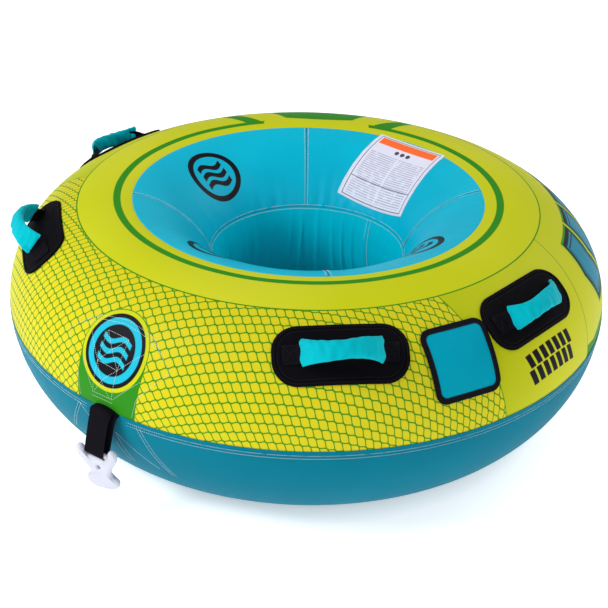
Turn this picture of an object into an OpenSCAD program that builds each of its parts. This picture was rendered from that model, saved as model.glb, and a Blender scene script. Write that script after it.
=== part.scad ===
/* [Tube] */
// Outside diameter of the inflated tube, seam to seam
tube_d = 1370; // [1270:10:1450]
// Width of the inflated ring's section
ring_w = 472; // [420:2:500]
// Height of the section above the widest line
ring_top = 220; // [190:2:250]
// Height of the section below the widest line, before the floor flattens it
ring_low = 257; // [230:2:290]
// How much of the underside the floor flattens
floor_flat = 6; // [2:0.5:10]
// Thickness of the coated nylon cover
cover_t = 1; // [0.6:0.1:1.5]
// Thickness of the bladder's vinyl
bladder_t = 0.9; // [0.6:0.1:1.5]

/* [Cover] */
// Section angle of the rim, where the deck meets the funnel
rim_t = 102.4; // [95:0.1:110]
// Section angle of the seam between the funnel and the throat
throat_t = 161.3; // [150:0.1:170]
// Side of the square warning label
label_w = 200; // [120:5:210]
// Section angle of the seam between the throat and the underside
hem_t = 212; // [195:1:230]
// Angles of the four funnel seams from the tow point
funnel_seams = [40.5, 128.5, 215.5, 308.5];

/* [Handles] */
// Angles of the handles from the tow point
handle_angles = [-91.5, -42, 40.4, 81.2];
// Section angle of the handles' middle
handle_t = 49; // [40:1:55]
// Length of the knuckle pad
pad_l = 258; // [220:2:270]
// Width of the knuckle pad
pad_w = 117; // [100:1:130]
// Radius of the knuckle pad's corners
pad_r = 50; // [30:1:55]
// Width of the handle's webbing
handle_web_w = 38; // [25:1:50]
// Half the distance between the handle loop's feet
loop_half = 76; // [65:1:85]
// Height of the handle loop above the pad
loop_h = 56; // [40:1:70]
// Lean of each handle loop towards the tube's outer edge
loop_leans = [38, 14, 12, 14];

/* [Valve] */
// Angle of the valve from the tow point
valve_tau = 61.9; // [61:0.1:63]
// Section angle of the valve
valve_t = 37.6; // [34:0.1:42]
// Side of the square flap over the valve
flap_w = 146; // [120:1:150]
// Outer radius of the valve's base
valve_r = 22; // [18:0.5:26]

/* [Tow point] */
// Width of the tow webbing
tow_web_w = 50; // [38:1:60]
// Height of the quick-connect hook
hook_h = 106; // [80:1:130]
// Width across the hook's shoulders
hook_w = 84; // [66:1:96]

/* [Zip] */
// Section angle of the zip on the underside
zip_t = 314; // [305:1:320]
// Half the angle that the zip spans, across the rear
zip_half = 52; // [30:1:70]

/* [Hidden] */
$fn = 64;

// The ring's section: centre radius, half width, and height of its widest line
ring_a = ring_w / 2;
ring_rc = tube_d / 2 - ring_a;
widest_z = ring_low - floor_flat;
// Straight steps, in degrees, that stand for the section's curve
step_t = 6;
// Where the label is sewn, and how far the hook's foot hangs in towards the tube
label_tau = 172.7;
label_t = 129;
hook_lean = 10;
// Play between sewn edges, so that neighbouring panels stay apart
seam_gap = 0.15;
// Depth below the cover's face of the webbing sandwich at the tow point, and of the bladder
patch_in = 1.8;
anchor_in = 3.3;
bladder_in = 3.6;
// Heights above the cover's face of the layers that are sewn to it
pad_low = 0.3;
pad_high = 4.3;
anchor_high = 6.7;
tape_low = 0.3;
tape_high = 1.3;
flap_low = 3;
flap_high = 4.2;
binding_low = 2.4;
binding_high = 5.4;
// Handle loop and grip
web_t = 2.2;
loop_base = 8.2;
grip_t = 1.6;
grip_gap = 0.5;
grip_w = 47;
grip_arc = 64;
// Tow point: the strap's turning line and the hook's bar, as [distance out, height]
tow_axis = [ring_rc + ring_a + 11, widest_z + 8];
tow_bar = [ring_rc + ring_a + 34, widest_z - 80];
tow_web_t = 2.4;
bar_r = 5.5;
hook_t = 13;
// Slot between the shoulders that the webbing passes through, and its floor below the bar's centre
slot_w = tow_web_w + 3;
slot_low = bar_r + tow_web_t + 1.4;
// The hook's eye for a spare cord
eye_r = 4;
eye_drop = 38;
// The valve's opening in the cover
opening_r = 34;
cap_r = valve_r - 3.4;
// Zip: widths of the chain and of one tape
chain_w = 4;
zip_tape_w = 13;

// ---- Section geometry -------------------------------------------------------------------------

// A point of the section at section angle t, pushed out of the surface by d
function half_h(t) = sin(t) >= 0 ? ring_top : ring_low;
function section(t, d) = [
    ring_rc + (ring_a + d) * cos(t),
    max(widest_z + (half_h(t) + d) * sin(t), -d)
];
// Elevation of the outward normal at section angle t
function normal_up(t) = atan2(ring_a * sin(t), half_h(t) * cos(t));
// Length of section per degree near angle t
function arc_per_deg(t) =
    sqrt(pow(ring_a * sin(t), 2) + pow(half_h(t) * cos(t), 2)) * PI / 180;
// Angles from t0 to t1 in even steps
function steps(t0, t1, size) =
    let (n = max(1, ceil(abs(t1 - t0) / size))) [for (i = [0:n]) t0 + (t1 - t0) * i / n];
// Section angles from t0 to t1 on one grid, so that the flats of neighbouring layers line up
function section_steps(t0, t1) = concat(
    [t0],
    [for (i = [floor(t0 / step_t) + 1:ceil(t1 / step_t) - 1]) i * step_t],
    [t1]
);
function reversed(list) = [for (i = [len(list) - 1:-1:0]) list[i]];

// Profile of a layer between section angles t0 and t1 and between offsets d0 and d1
module layer_profile(t0, t1, d0, d1) {
    angles = section_steps(t0, t1);
    outer = [for (t = angles) section(t, d1)];
    inner = [for (t = reversed(angles)) section(t, d0)];
    polygon(concat(outer, inner));
}

// A layer that follows the ring from tau0 to tau1, measured from the tow point
module layer(tau0, tau1, t0, t1, d0, d1) {
    rotate([0, 0, tau0 - 90])
        rotate_extrude(angle = tau1 - tau0, $fn = 180)
            layer_profile(t0, t1, d0, d1);
}

// The whole closed section, pushed out by d
module ring_profile(d) {
    polygon([for (t = [0:step_t:360 - step_t]) section(t, d)]);
}

// A layer right round the ring
module full_layer(t0, t1, d0, d1) {
    rotate_extrude($fn = 180) layer_profile(t0, t1, d0, d1);
}

// Puts children on the ring: x along it, y up its section, z out of its face
module on_ring(tau, t, d = 0) {
    place = section(t, d);
    rotate([0, 0, tau - 90])
        translate([place[0], 0, place[1]])
            rotate([0, 90 - normal_up(t), 0])
                rotate([0, 0, 90])
                    children();
}

function corner(cx, cy, r, a0) =
    [for (i = [0:6]) [cx + r * cos(a0 + i * 15), cy + r * sin(a0 + i * 15)]];
function rounded(w, h, r) = concat(
    corner(w / 2 - r, h / 2 - r, r, 0),
    corner(r - w / 2, h / 2 - r, r, 90),
    corner(r - w / 2, r - h / 2, r, 180),
    corner(w / 2 - r, r - h / 2, r, 270)
);

// A piece cut from the layer between offsets d0 and d1 by an outline on the ring's face
module cut_layer(tau, t, span_tau, span_t, d0, d1) {
    t0 = step_t * floor((t - span_t) / step_t);
    t1 = step_t * ceil((t + span_t) / step_t);
    intersection() {
        layer(tau - span_tau, tau + span_tau, t0, t1, d0, d1);
        on_ring(tau, t) translate([0, 0, -40]) linear_extrude(80) children();
    }
}

// Outline round two circles that a band would run over
function capsule(p, rp, q, rq, n = 12) =
    let (
        along = atan2(q[1] - p[1], q[0] - p[0]),
        lean = asin((rp - rq) / norm(q - p))
    )
    concat(
        [for (i = [0:n]) p + rp * [
            cos(along + 90 - lean + (180 + 2 * lean) * i / n),
            sin(along + 90 - lean + (180 + 2 * lean) * i / n)]],
        [for (i = [0:n]) q + rq * [
            cos(along - 90 + lean + (180 - 2 * lean) * i / n),
            sin(along - 90 + lean + (180 - 2 * lean) * i / n)]]
    );

// ---- Bladder and cover ------------------------------------------------------------------------

module bladder() {
    color("dimgray")
    difference() {
        rotate_extrude($fn = 180) difference() {
            ring_profile(-bladder_in);
            ring_profile(-bladder_in - bladder_t);
        }
        on_ring(valve_tau, valve_t) cylinder(r = valve_r + 0.3, h = 60, center = true);
    }
}

module deck_panel() {
    color("yellowgreen")
    difference() {
        full_layer(seam_gap, rim_t - seam_gap, -cover_t, 0);
        on_ring(valve_tau, valve_t) cylinder(r = opening_r, h = 40, center = true);
    }
}

module funnel_panel(n) {
    first = funnel_seams[n];
    last = n < 3 ? funnel_seams[n + 1] : funnel_seams[0] + 360;
    color("darkturquoise")
        layer(first + seam_gap, last - seam_gap, rim_t, throat_t - seam_gap, -cover_t, 0);
}

module throat_panel() {
    color("darkturquoise")
        full_layer(throat_t, hem_t - seam_gap, -cover_t, 0);
}

// The underside has a slot for the zip at the rear
module underside_panel() {
    slot = zip_tape_w / arc_per_deg(zip_t);
    color("darkcyan")
    difference() {
        full_layer(hem_t, 360 - seam_gap, -cover_t, 0);
        layer(180 - zip_half, 180 + zip_half, zip_t - slot * 0.5, zip_t + slot * 0.5, -5, 5);
    }
}

// Shock cord in the throat's lower hem, which pulls it into gathers
module throat_elastic() {
    place = section(hem_t - 2, -2.3);
    color("white")
        rotate_extrude($fn = 180) translate(place) circle(d = 2, $fn = 16);
}

// Warning label sewn to the rear right of the funnel
module label_patch() {
    color("white")
        cut_layer(label_tau, label_t, 30, 31, 0.2, 0.8) polygon(rounded(label_w, label_w, 3));
}

// ---- Tow point --------------------------------------------------------------------------------

// Webbing sewn behind the deck, from the stitched box down to the slit in the seam
module tow_anchor_webbing() {
    color("black")
        cut_layer(0, 21, 6, 20, -anchor_in, -patch_in - 0.1)
            polygon(rounded(tow_web_w, 156, 1));
}

// Cloth patches that spread the pull, behind the deck and behind the underside
module tow_patch_upper() {
    color("gold")
        cut_layer(0, 26, 12, 24, -patch_in, -cover_t - 0.1)
            polygon([[-30, -100], [30, -100], [120, 20], [108, 62], [0, 98], [-108, 62], [-120, 20]]);
}

module tow_patch_lower() {
    color("darkcyan")
        cut_layer(0, 343, 10, 15, -patch_in, -cover_t - 0.1)
            polygon([[-34, 62], [34, 62], [106, -50], [92, -58], [-92, -58], [-106, -50]]);
}

// Loop of webbing that comes out of the slit and holds the hook
module tow_strap() {
    color("black")
    rotate([0, 0, -90]) rotate([90, 0, 0])
        linear_extrude(tow_web_w, center = true)
            difference() {
                polygon(capsule(tow_axis, 5, tow_bar, bar_r + 0.4 + tow_web_t));
                polygon(capsule(tow_axis, 5 - tow_web_t, tow_bar, bar_r + 0.4));
            }
}

// Flat outline of the hook, with its bar's centre at the origin and its catch below
module hook_outline() {
    shoulder = hook_w / 2;
    neck = 15;
    catch = 29;
    low = -hook_h + bar_r;
    difference() {
        union() {
            for (side = [-1, 1]) {
                translate([side * (shoulder - 12), -4]) circle(r = 12);
                translate([side * (catch - 6), low + 27]) circle(r = 6);
            }
            polygon([
                [-shoulder, -4], [-shoulder + 12, 8], [-shoulder + 12, -16], [shoulder - 12, -16],
                [shoulder - 12, 8], [shoulder, -4], [shoulder - 2, -12], [neck + 3, -50],
                [neck, -62], [neck + 2, low + 27], [catch - 9, low + 22], [catch - 2, low + 24],
                [catch - 3, low + 14], [catch - 12, low + 4], [8, low], [-8, low],
                [12 - catch, low + 4], [3 - catch, low + 14], [2 - catch, low + 24],
                [9 - catch, low + 22], [-neck - 2, low + 27], [-neck, -62],
                [-neck - 3, -50], [2 - shoulder, -12]
            ]);
        }
        translate([0, -eye_drop]) circle(r = eye_r);
        translate([-slot_w / 2, -slot_low]) square([slot_w, 40]);
    }
}

// The plate with its shoulders, and the round bar that the webbing runs over
module tow_hook() {
    color("ghostwhite")
    translate([0, -tow_bar[0], tow_bar[1]]) rotate([hook_lean, 0, 0]) {
        rotate([90, 0, 0]) linear_extrude(hook_t, center = true) hook_outline();
        rotate([0, 90, 0]) cylinder(r = bar_r, h = slot_w + 10, center = true);
    }
}

// ---- Handles ----------------------------------------------------------------------------------

module handle_pad(n) {
    color("black")
        cut_layer(handle_angles[n], handle_t, 18, 22, pad_low, pad_high)
            polygon(rounded(pad_l, pad_w, pad_r));
}

// The two ends of the webbing, sewn flat to the pad
module handle_anchor(n) {
    color("black")
        cut_layer(handle_angles[n], handle_t, 18, 22, pad_high + 0.1, anchor_high)
            for (side = [-1, 1])
                translate([side * (loop_half + 18), 0]) square([34, 44], center = true);
}

// Points of the arch, at a distance k outside its middle line
function arch(a0, a1, k) = [for (a = steps(a0, a1, 8)) [
    (loop_half + k) * cos(a),
    (loop_h + k) * sin(a)
]];

module arch_band(a0, a1, k0, k1) {
    polygon(concat(arch(a0, a1, k1), reversed(arch(a0, a1, k0))));
}

module in_loop_frame(n) {
    on_ring(handle_angles[n], handle_t, loop_base) rotate([loop_leans[n], 0, 0])
        translate([0, 0, -3]) rotate([90, 0, 0]) children();
}

// Webbing arch; its feet taper to the line that it folds over
module handle_loop(n) {
    foot_w = 4;
    foot_h = 2;
    full = 28;
    wide = handle_web_w / 2;
    color("black")
    in_loop_frame(n) intersection() {
        linear_extrude(handle_web_w, center = true) arch_band(3, 177, -web_t / 2, web_t / 2);
        rotate([0, 90, 0]) linear_extrude(2 * loop_half + 20, center = true)
            polygon([
                [-foot_w / 2, foot_h], [foot_w / 2, foot_h], [wide, foot_h + full],
                [wide, loop_h + 20], [-wide, loop_h + 20], [-wide, foot_h + full]
            ]);
    }
}

// Padded sleeve round the middle of the arch
module handle_grip(n) {
    inner = web_t / 2 + grip_gap;
    outer = inner + grip_t;
    first = 90 - grip_arc;
    last = 90 + grip_arc;
    color("turquoise")
    in_loop_frame(n) difference() {
        linear_extrude(grip_w, center = true) arch_band(first, last, -outer, outer);
        linear_extrude(handle_web_w + 2 * grip_gap, center = true)
            arch_band(first - 2, last + 2, -inner, inner);
    }
}

// ---- Valve and its flap -----------------------------------------------------------------------

module flap_panel() {
    color("darkcyan")
        cut_layer(valve_tau, valve_t, 12, 26, flap_low, flap_high)
            polygon(rounded(flap_w - 23, flap_w - 23, 15));
}

module flap_binding() {
    color("black")
        cut_layer(valve_tau, valve_t, 12, 26, binding_low, binding_high)
            difference() {
                polygon(rounded(flap_w, flap_w, 24));
                polygon(rounded(flap_w - 22.6, flap_w - 22.6, 15.2));
            }
}

module flap_hook_tape() {
    color("gray")
        cut_layer(valve_tau, valve_t, 12, 26, 1.6, flap_low - 0.1)
            translate([0, -49]) square([100, 20], center = true);
}

module flap_loop_tape() {
    color("gray")
        cut_layer(valve_tau, valve_t, 12, 26, tape_low, tape_high)
            translate([0, -49]) square([104, 22], center = true);
}

// Strip that sews the flap's top edge to the deck
module flap_hinge_tape() {
    color("black")
        cut_layer(valve_tau, valve_t, 12, 26, tape_low, tape_high)
            translate([0, flap_w / 2 - 5]) square([118, 20], center = true);
}

// Binding round the hole in the deck
module valve_opening_binding() {
    color("black")
        cut_layer(valve_tau, valve_t, 6, 12, 0.1, 1)
            difference() {
                circle(r = opening_r + 3.5);
                circle(r = opening_r - 0.5);
            }
}

module valve_flange() {
    color("dimgray")
        cut_layer(valve_tau, valve_t, 6, 14, -bladder_in - bladder_t - 1.7, -bladder_in - bladder_t - 0.1)
            difference() {
                circle(r = 42);
                circle(r = valve_r + 0.1);
            }
}

// Threaded collar welded into the bladder
module valve_base() {
    color("black")
    on_ring(valve_tau, valve_t) difference() {
        translate([0, 0, -26]) cylinder(r = valve_r, h = 25.6);
        translate([0, 0, -27]) cylinder(r = valve_r - 2.6, h = 28);
    }
}

// One-way insert: a ring with a cross that holds the membrane
module valve_insert() {
    ring_r = valve_r - 2.8;
    color("dimgray")
    on_ring(valve_tau, valve_t) translate([0, 0, -22]) {
        difference() {
            cylinder(r = ring_r, h = 10);
            translate([0, 0, -1]) cylinder(r = ring_r - 3, h = 12);
        }
        for (turn = [0, 90])
            rotate([0, 0, turn]) translate([0, 0, 1.5]) cube([2 * ring_r - 5, 2.4, 3], center = true);
    }
}

module valve_membrane() {
    color("white")
    on_ring(valve_tau, valve_t) translate([0, 0, -23.3]) cylinder(r = valve_r - 4.2, h = 1.1);
}

// Screw cap with a finger bar across its dished top
module valve_cap() {
    bar_w = 5;
    color("black")
    on_ring(valve_tau, valve_t) {
        difference() {
            translate([0, 0, -9.5]) cylinder(r = cap_r, h = 10);
            translate([0, 0, -7.5]) cylinder(r = cap_r - 2.4, h = 9);
        }
        translate([0, 0, -4.5]) cube([2 * cap_r - 3, bar_w, 8], center = true);
    }
}

// Strap that keeps the cap on the valve: a ring round the collar and a tail
module valve_leash() {
    color("black")
    on_ring(valve_tau, valve_t) difference() {
        union() {
            translate([0, 0, -2.6]) cylinder(r = valve_r + 3.2, h = 1.2);
            translate([valve_r + 4, 0, -2]) cube([11, 7, 1.2], center = true);
        }
        translate([0, 0, -4]) cylinder(r = valve_r + 0.2, h = 5);
    }
}

// ---- Zip on the underside ---------------------------------------------------------------------

module zip_band(low, high, d0, d1, trim = 0) {
    scale_t = 1 / arc_per_deg(zip_t);
    layer(180 - zip_half + trim, 180 + zip_half - trim,
        zip_t + low * scale_t, zip_t + high * scale_t, d0, d1);
}

module zip_tape_upper() {
    color("black") zip_band(0.3, zip_tape_w, 0.15, 0.9);
}

module zip_tape_lower() {
    color("black") zip_band(-zip_tape_w, -0.3, 0.15, 0.9);
}

module zip_chain() {
    color("black") zip_band(-chain_w / 2, chain_w / 2, 1, 2.6, 1);
}

module zip_stops() {
    color("silver")
    for (end = [-1, 1])
        on_ring(180 + end * (zip_half - 0.55), zip_t, 1.8) cube([5, 8, 1.6], center = true);
}

// Angle of the closed slider
function slider_tau() = 180 - zip_half + 2.4;

// Slider: a plate over the chain with a wall on each side, and a bridge for the pull
module zip_slider() {
    color("silver")
    on_ring(slider_tau(), zip_t) {
        translate([0, 0, 3.6]) cube([18, 11, 1.2], center = true);
        for (side = [-1, 1]) {
            translate([0, side * 4.6, 2.4]) cube([18, 1.6, 1.4], center = true);
            translate([0, side * 3, 5.2]) cube([5, 1.4, 2.2], center = true);
        }
        translate([0, 0, 5.8]) rotate([90, 0, 0]) cylinder(d = 1.6, h = 7, center = true);
    }
}

// Pull tab that hangs from the bridge
module zip_pull() {
    color("black")
    on_ring(slider_tau(), zip_t) translate([0, 0, 5.8]) difference() {
        union() {
            rotate([90, 0, 0]) cylinder(d = 2.8, h = 4, center = true);
            translate([0, 0, 14]) cube([1.8, 4, 26], center = true);
            translate([0, 0, 30]) cube([3.6, 9, 22], center = true);
        }
        rotate([90, 0, 0]) cylinder(d = 1.75, h = 9, center = true);
    }
}

bladder();
deck_panel();
funnel_panel(0);  // funnel_panel_1
funnel_panel(1);  // funnel_panel_2
funnel_panel(2);  // funnel_panel_3
funnel_panel(3);  // funnel_panel_4
throat_panel();
underside_panel();
throat_elastic();
tow_anchor_webbing();
tow_patch_upper();
tow_patch_lower();
tow_strap();
tow_hook();
handle_pad(0);  // handle_pad_1
handle_pad(1);  // handle_pad_2
handle_pad(2);  // handle_pad_3
handle_pad(3);  // handle_pad_4
handle_anchor(0);  // handle_anchor_1
handle_anchor(1);  // handle_anchor_2
handle_anchor(2);  // handle_anchor_3
handle_anchor(3);  // handle_anchor_4
handle_loop(0);  // handle_loop_1
handle_loop(1);  // handle_loop_2
handle_loop(2);  // handle_loop_3
handle_loop(3);  // handle_loop_4
handle_grip(0);  // handle_grip_1
handle_grip(1);  // handle_grip_2
handle_grip(2);  // handle_grip_3
handle_grip(3);  // handle_grip_4
flap_panel();
flap_binding();
flap_hook_tape();
flap_loop_tape();
flap_hinge_tape();
valve_opening_binding();
valve_flange();
valve_base();
valve_insert();
valve_membrane();
valve_cap();
valve_leash();
zip_tape_upper();
zip_tape_lower();
zip_chain();
zip_stops();
zip_slider();
zip_pull();
label_patch();
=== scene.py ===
import math
import random

import bpy
import numpy as np
from mathutils import Matrix, Vector


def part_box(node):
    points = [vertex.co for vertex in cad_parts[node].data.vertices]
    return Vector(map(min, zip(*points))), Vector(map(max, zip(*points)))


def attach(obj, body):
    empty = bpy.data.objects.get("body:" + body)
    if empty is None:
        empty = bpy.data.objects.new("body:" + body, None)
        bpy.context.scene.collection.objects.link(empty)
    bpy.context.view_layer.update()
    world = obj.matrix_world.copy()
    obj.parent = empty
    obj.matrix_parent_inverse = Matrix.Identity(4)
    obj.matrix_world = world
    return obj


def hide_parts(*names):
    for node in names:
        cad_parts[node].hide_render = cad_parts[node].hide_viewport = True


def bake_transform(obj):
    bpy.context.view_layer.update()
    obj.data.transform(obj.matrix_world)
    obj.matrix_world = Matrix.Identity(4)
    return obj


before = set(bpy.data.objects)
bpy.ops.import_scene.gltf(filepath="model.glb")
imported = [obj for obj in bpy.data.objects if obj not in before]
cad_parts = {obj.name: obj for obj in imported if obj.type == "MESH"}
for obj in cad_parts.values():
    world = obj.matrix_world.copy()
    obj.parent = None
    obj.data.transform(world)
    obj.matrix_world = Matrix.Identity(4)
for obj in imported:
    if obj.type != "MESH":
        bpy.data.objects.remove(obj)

MM = 0.001
TAU = 2 * math.pi
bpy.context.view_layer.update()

# ---- The tube's section: angles in degrees, lengths in metres ----------------------------------

# Half width of the section, its centre's distance from the middle, and its half heights
RING_A = 0.236
RING_RC = float(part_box("deck_panel")[1][0]) - RING_A
TOP_H = 0.220
LOW_H = 0.257
WIDEST_Z = 0.251
# Section angles of the rim, of the seam under the funnel, of the throat's hem, the handles and the zip
RIM_T = 102.4
THROAT_T = 161.3
HEM_T = 212.0
HANDLE_T = 49.0
ZIP_T = 314.0
# Millimetres of section in one degree: on the deck, in the well, and under the seam
DECK_DEGREE = 4.2
WELL_DEGREE = 4.1
LOW_DEGREE = 4.4
ZIP_DEGREE = 4.5
FUNNEL_SEAMS = [40.5, 128.5, 215.5, 308.5]
# Each handle's angle round the ring, lean, height of its arch and how far that sags along the ring
HANDLES = [
    (-91.5, 51.0, 0.036, 0.0),
    (-42.0, 14.0, 0.053, 0.0),
    (40.4, 12.0, 0.056, 0.0),
    (81.2, 14.0, 0.047, -0.013),
]
# Angle round the ring and section angle of the valve and of the label
VALVE = (61.9, 37.6)
LABEL = (172.7, 129.0)


def half_height(t):
    return np.where(np.sin(t) >= 0, TOP_H, LOW_H)


def on_face(tau, t, d=0.0):
    """Points of the tube's face, pushed out by d metres."""
    tau = np.radians(np.asarray(tau, float))
    t = np.radians(np.asarray(t, float))
    r = RING_RC + (RING_A + d) * np.cos(t)
    z = np.maximum(WIDEST_Z + (half_height(t) + d) * np.sin(t), -d)
    r, z, tau = np.broadcast_arrays(r, z, tau)
    return np.stack([r * np.sin(tau), -r * np.cos(tau), z], -1)


def axes_at(tau, t):
    """Directions along the ring, up the section and out of the face."""
    tau = math.radians(tau)
    t = math.radians(t)
    up = math.atan2(RING_A * math.sin(t), float(half_height(t)) * math.cos(t))
    out = np.array([math.sin(tau), -math.cos(tau), 0.0])
    rise = np.array([0.0, 0.0, 1.0])
    along = np.array([math.cos(tau), math.sin(tau), 0.0])
    return along, rise * math.cos(up) - out * math.sin(up), out * math.cos(up) + rise * math.sin(up)


class Spot:
    """A place on the tube with flat axes: x along the ring, y up the section, z out."""

    def __init__(self, tau, t):
        self.origin = on_face(tau, t)
        self.x, self.y, self.z = axes_at(tau, t)

    def at(self, x, y, z):
        """Points at flat coordinates."""
        x, y, z = np.broadcast_arrays(*(np.asarray(v, float) for v in (x, y, z)))
        return self.origin + x[..., None] * self.x + y[..., None] * self.y + z[..., None] * self.z

    def dropped(self, x, y, d):
        """Flat points moved square to the spot until they lie d above the tube's face."""
        p = self.at(x, y, 0.0)
        d = np.broadcast_to(np.asarray(d, float), p.shape[:-1])
        for _ in range(14):
            r = np.hypot(p[..., 0], p[..., 1])
            h = np.where(p[..., 2] >= WIDEST_Z, TOP_H, LOW_H) + d
            a = (r - RING_RC) / (RING_A + d)
            b = (p[..., 2] - WIDEST_Z) / h
            turn = (p[..., 0] * self.z[0] + p[..., 1] * self.z[1]) / r
            slope = 2 * a / (RING_A + d) * turn + 2 * b / h * self.z[2]
            p = p - ((a * a + b * b - 1) / slope)[..., None] * self.z
        return p


# Arc length of the section from the rim out to the seam, for the printed cloth's flat coordinates
_angles = np.linspace(RIM_T, 0, 800)
_line = on_face(0, _angles)
_arc = np.concatenate([[0], np.cumsum(np.linalg.norm(np.diff(_line, axis=0), axis=1))])
PRINT_IN = 398.3
PRINT_OUT = 700.0


def print_xy(points):
    """Flat coordinates, in millimetres, of points of the deck on its printed cloth."""
    r = np.hypot(points[..., 0], points[..., 1])
    t = np.degrees(np.arctan2((points[..., 2] - WIDEST_Z) / TOP_H, (r - RING_RC) / RING_A))
    s = np.interp(-t, -_angles, _arc)
    rho = PRINT_IN + (PRINT_OUT - PRINT_IN) * s / _arc[-1]
    return np.stack([rho * points[..., 0] / r, rho * points[..., 1] / r, s / MM], -1)


def from_print(x, y, d=0.0):
    """Points of the deck at flat coordinates of its printed cloth, in millimetres."""
    x = np.asarray(x, float)
    y = np.asarray(y, float)
    s = (np.hypot(x, y) - PRINT_IN) / (PRINT_OUT - PRINT_IN) * _arc[-1]
    t = np.interp(s, _arc, _angles)
    return on_face(np.degrees(np.arctan2(x, -y)), t, d)


# ---- Meshes ------------------------------------------------------------------------------------


def grid(rows, columns, wrap=False, loop=False):
    """Quads over rows x columns of points; wrap joins the last column to the first, and loop the last row."""
    row = np.arange(rows if loop else rows - 1)
    column = np.arange(columns if wrap else columns - 1)
    i, j = np.meshgrid(row, column, indexing="ij")
    n = (i + 1) % rows
    k = (j + 1) % columns
    quads = np.stack([i * columns + j, i * columns + k, n * columns + k, n * columns + j], -1)
    return quads.reshape(-1, 4).tolist()


def band(t, columns):
    """Section angles and angles round the ring over a whole band of the tube."""
    return np.meshgrid(t, np.arange(columns) * 360 / columns, indexing="ij")


def in_metres(profile):
    return [(a * MM, b * MM) for a, b in profile]


def flat_at(x, y, z=0.0):
    """Flat coordinates in millimetres, one for each point."""
    x, y, z = np.broadcast_arrays(x, y, z)
    return np.stack([x, y, z], -1)



def mesh(name, points, faces, paint, body="tube", cloth=None, slot=None):
    """An object from points and faces, on one of the CAD bodies."""
    points = np.asarray(points, float).reshape(-1, 3)
    data = bpy.data.meshes.new(name)
    data.from_pydata(points.tolist(), [], faces)
    data.update()
    data.shade_smooth()
    data.materials.append(paint)
    if cloth is not None:
        flat = np.asarray(cloth, np.float32).reshape(-1)
        data.attributes.new("cloth", "FLOAT_VECTOR", "POINT").data.foreach_set("vector", flat)
    made = bpy.data.objects.new(name, data)
    bpy.context.scene.collection.objects.link(made)
    if body:
        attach(made, body)
    return made


def waves(angle, low, high, count, seed):
    """Smooth noise round the ring, about -1 to 1, from whole waves between low and high a turn."""
    pick = random.Random(seed)
    total = np.zeros(np.shape(angle))
    for _ in range(count):
        total = total + np.cos(pick.randint(low, high) * np.radians(angle) + pick.uniform(0, TAU))
    return total / math.sqrt(count) / 1.2


def near(distance, width):
    """1 at an edge, falling away over a width."""
    return np.exp(-np.abs(distance) / width)


class Threads:
    """Rows of sewn stitches, gathered into one mesh."""

    def __init__(self, pitch=4.6 * MM, width=1.3 * MM, high=0.6 * MM):
        self.pitch = pitch
        self.width = width
        self.high = high
        self.points = []
        self.faces = []

    def row(self, path, normals):
        """Stitches along a path with one surface normal for each of its points."""
        path = np.asarray(path, float)
        normals = np.asarray(normals, float)
        length = np.concatenate([[0], np.cumsum(np.linalg.norm(np.diff(path, axis=0), axis=1))])
        count = max(1, int(length[-1] / self.pitch))
        for k in range(count):
            ends = np.array([k + 0.1, k + 0.5, k + 0.92]) * length[-1] / count
            a, m, b = (np.array([np.interp(e, length, path[:, c]) for c in range(3)]) for e in ends)
            n = np.array([np.interp(ends[1], length, normals[:, c]) for c in range(3)])
            side = np.cross(b - a, n)
            side = side / (np.linalg.norm(side) + 1e-12) * self.width / 2
            first = len(self.points)
            self.points += [a - n * 0.1 * MM, b - n * 0.1 * MM]
            self.points += [m + side, m + n * self.high, m - side, m - n * 0.2 * MM]
            for p, q in ((2, 3), (3, 4), (4, 5), (5, 2)):
                self.faces += [(first, first + p, first + q), (first + 1, first + q, first + p)]

    def made(self, name, paint, body="tube"):
        return mesh(name, self.points, self.faces, paint, body)


def ring_row(threads, t, d, tau0=0.0, tau1=360.0):
    """A row of stitches round the ring at one section angle."""
    tau = np.linspace(tau0, tau1, max(8, int(abs(tau1 - tau0) * 2)))
    normal = np.stack([axes_at(a, t)[2] for a in tau])
    threads.row(on_face(tau, t, d), normal)


def section_row(threads, tau, t0, t1, d):
    """A row of stitches along the section at one angle round the ring."""
    t = np.linspace(t0, t1, 40)
    threads.row(on_face(tau, t, d), np.stack([axes_at(tau, a)[2] for a in t]))


def rounded(width, height, radius, inset, count):
    """Points round a rounded rectangle that has been inset, always at matching places."""
    half = np.array([width, height]) / 2 - radius
    turn = radius * math.pi / 2
    lengths = [turn, 2 * half[0], turn, 2 * half[1]] * 2
    knots = np.concatenate([[0], np.cumsum(lengths)])
    signs = np.array([(1, 1), (1, 1), (-1, 1), (-1, 1), (-1, -1), (-1, -1), (1, -1), (1, -1), (1, 1)])
    centres = signs * np.maximum(half - max(inset - radius, 0.0), 0.0)
    turns = np.radians([0, 90, 90, 180, 180, 270, 270, 360, 360])
    s = (np.arange(count) / count * knots[-1] - half[1]) % knots[-1]
    angle = np.interp(s, knots, turns)
    corner = max(radius - inset, 0.0)
    x = np.interp(s, knots, centres[:, 0]) + corner * np.cos(angle)
    y = np.interp(s, knots, centres[:, 1]) + corner * np.sin(angle)
    return np.stack([x, y], -1)


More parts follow.
